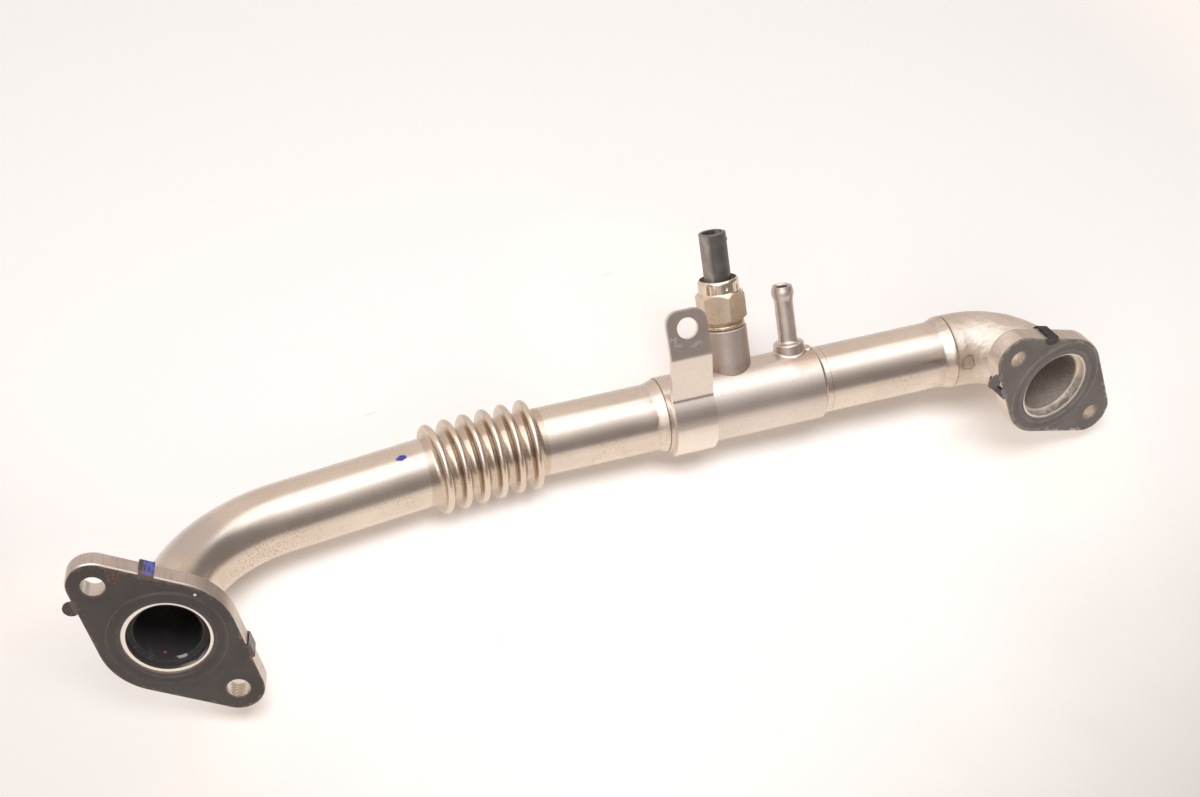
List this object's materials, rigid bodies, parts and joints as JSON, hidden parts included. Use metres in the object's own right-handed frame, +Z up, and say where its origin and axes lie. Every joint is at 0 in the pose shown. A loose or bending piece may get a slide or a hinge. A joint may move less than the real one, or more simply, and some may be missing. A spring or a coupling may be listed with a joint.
{
  "type": "egr pipe",
  "caption": "Bent steel exhaust gas recirculation pipe with a bellows, a temperature sensor, a hose nipple, a bracket, a cast elbow and a bolted flange at each end.",
  "frame": {"origin": "centre of the inlet flange's joint face", "axes": "+Z up from the bench on which the pipe lies at rest, +X level along the long straight run towards the outlet"},
  "size_m": [0.4036, 0.1225, 0.0716],
  "materials": {
    "inlet_tube": "satin, heat tinted",
    "inlet_flange": "dull, heat darkened",
    "inlet_gasket": "coated sheet, worn edges",
    "inlet_weld": "weld bead",
    "inlet_braze": "braze",
    "housing_braze_inlet": "braze",
    "sensor_housing": "fine turned, matt",
    "housing_braze_outlet": "braze",
    "sensor_boss": "turned",
    "sealing_washer": "crushed",
    "sensor_body": "zinc nickel plated",
    "sensor_probe": "sooted",
    "thermistor": "glass bead on wires",
    "connector_seal": "rubber",
    "sensor_connector": "moulded",
    "terminal_left": "tinned",
    "terminal_right": "tinned",
    "nipple_boss": "turned",
    "nipple_braze": "braze",
    "hose_nipple": "satin",
    "bracket": "rolled sheet, scuffed",
    "outlet_tube": "satin, heat tinted",
    "elbow_weld": "weld bead",
    "outlet_elbow": "cast, shot blasted",
    "outlet_gasket": "coated sheet"
  },
  "bodies": {
    "root": {"inlet_tube": "inlet_tube", "inlet_flange": "inlet_flange", "inlet_gasket": "inlet_gasket", "inlet_weld": "inlet_weld", "inlet_braze": "inlet_braze", "housing_braze_inlet": "housing_braze_inlet", "sensor_housing": "sensor_housing", "housing_braze_outlet": "housing_braze_outlet", "sensor_boss": "sensor_boss", "sealing_washer": "sealing_washer", "sensor_body": "sensor_body", "sensor_probe": "sensor_probe", "thermistor": "thermistor", "connector_seal": "connector_seal", "sensor_connector": "sensor_connector", "terminal_left": "terminal_left", "terminal_right": "terminal_right", "nipple_boss": "nipple_boss", "nipple_braze": "nipple_braze", "hose_nipple": "hose_nipple", "bracket": "bracket", "outlet_tube": "outlet_tube", "elbow_weld": "elbow_weld", "outlet_elbow": "outlet_elbow", "outlet_gasket": "outlet_gasket"}
  },
  "joints": []
}
